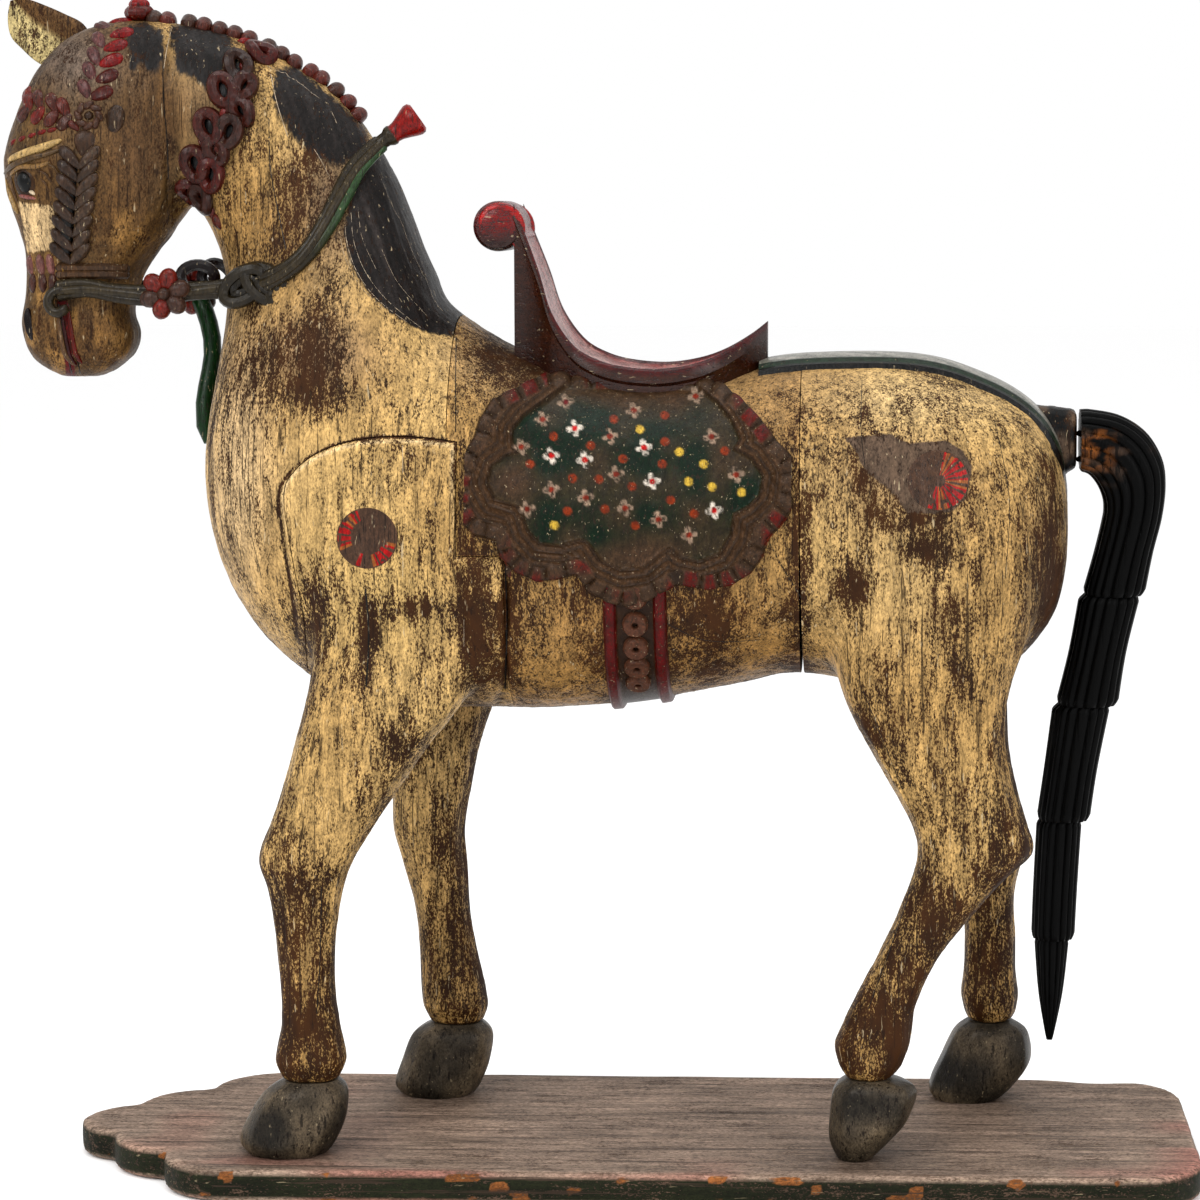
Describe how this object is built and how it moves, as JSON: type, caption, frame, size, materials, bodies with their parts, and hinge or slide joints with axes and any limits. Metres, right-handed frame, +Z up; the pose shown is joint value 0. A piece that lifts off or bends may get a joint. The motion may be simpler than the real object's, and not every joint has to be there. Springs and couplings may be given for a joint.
{
  "type": "painted wooden horse statue",
  "caption": "Carved, painted wooden horse in a walking pose, with bridle, braids, saddle and saddle cloth, standing on its lobed base board.",
  "frame": {"origin": "centre of the base board's underside", "axes": "+Z up, the horse faces -X, its left side is towards -Y"},
  "size_m": [1.4896, 0.47, 1.4519],
  "materials": {
    "board_wood": "worn grey-brown paint with remains of red, dark green edge",
    "body_wood": "worn ochre paint over dark brown wood, satin",
    "saddle_wood": "worn red paint, satin",
    "tail_wood": "black paint, satin"
  },
  "bodies": {
    "root": {"base_board": "board_wood", "forehand": "body_wood", "barrel": "body_wood", "hindquarters": "body_wood", "foreleg_left": "body_wood", "foreleg_right": "body_wood", "saddle": "saddle_wood", "tail": "tail_wood"}
  },
  "joints": []
}
